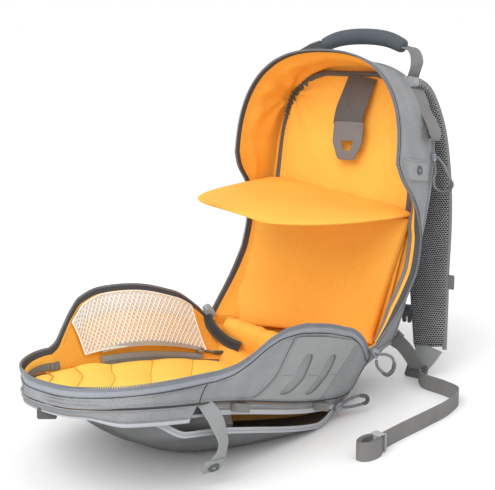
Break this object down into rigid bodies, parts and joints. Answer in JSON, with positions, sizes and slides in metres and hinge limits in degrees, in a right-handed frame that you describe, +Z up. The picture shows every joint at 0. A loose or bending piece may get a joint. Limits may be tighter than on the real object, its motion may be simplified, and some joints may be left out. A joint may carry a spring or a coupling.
{
  "type": "backpack",
  "caption": "Grey cloth backpack with orange lining, unzipped like a clamshell: body upright, lid folded down with mesh, quilted and front pockets, padded straps and top handle.",
  "frame": {"origin": "Middle of the footprint box on the floor, measured without the zip pull cords.", "axes": "+Z up. +Y from the lid's tip toward the back panel and shoulder straps. +X to the side of the near shoulder strap, the right of the picture."},
  "size_m": [0.3996, 0.69, 0.4899],
  "materials": {
    "nylon": "matt woven nylon",
    "lining": "light ripstop with a soft sheen",
    "quilt": "quilted light cloth",
    "zip_tape": "zip tape with moulded teeth",
    "elastic": "ribbed elastic and dark webbing",
    "webbing": "ribbed webbing",
    "air_mesh": "spacer mesh over foam",
    "white_mesh": "open white net",
    "dark_mesh": "dark net",
    "grip": "smooth padded cloth",
    "plastic": "satin moulded plastic",
    "pull_cord": "round braided cord",
    "zip_metal": "satin grey enamel"
  },
  "bodies": {
    "root": {"body_gusset": "nylon", "back_panel": "nylon", "snap_tab": "nylon", "bottom_panel": "nylon", "lid_gusset": "nylon", "slotted_panel": "nylon", "front_pocket_wall": "nylon", "front_zip_strip": "nylon", "front_panel": "nylon", "strap_end_right": "nylon", "strap_end_left": "nylon", "anchor_tab_right": "nylon", "anchor_tab_left": "nylon", "strap_tag": "nylon", "body_lining": "lining", "back_lining": "lining", "rear_sleeve": "lining", "divider_panel": "lining", "divider_shelf": "lining", "lid_lining": "lining", "lid_panel": "lining", "bottom_lining": "lining", "quilted_pocket": "quilt", "body_zip_tape": "zip_tape", "lid_zip_tape": "zip_tape", "mesh_zip_tape": "zip_tape", "sleeve_binding": "elastic", "hanger_strap": "elastic", "hanger_tab": "elastic", "pocket_elastic": "elastic", "tip_tab": "elastic", "handle_webbing_right": "webbing", "handle_webbing_left": "webbing", "lower_webbing_right": "webbing", "lower_webbing_left": "webbing", "webbing_tail_right": "webbing", "webbing_tail_left": "webbing", "tail_roll": "webbing", "side_loop_front": "webbing", "side_loop_rear": "webbing", "snap_strap": "webbing", "mesh_pull": "webbing", "shoulder_strap_right": "air_mesh", "shoulder_strap_left": "air_mesh", "mesh_pocket": "white_mesh", "front_mesh": "dark_mesh", "handle_grip": "grip", "ladder_lock_right": "plastic", "ladder_lock_left": "plastic", "sternum_buckle": "plastic", "main_pull": "pull_cord", "front_pull": "pull_cord", "rear_pull": "pull_cord", "tab_snap": "zip_metal", "strap_snap": "zip_metal", "main_slider_right": "zip_metal", "main_slider_left": "zip_metal", "mesh_slider": "zip_metal", "front_slider": "zip_metal", "rear_slider": "zip_metal"}
  },
  "joints": []
}
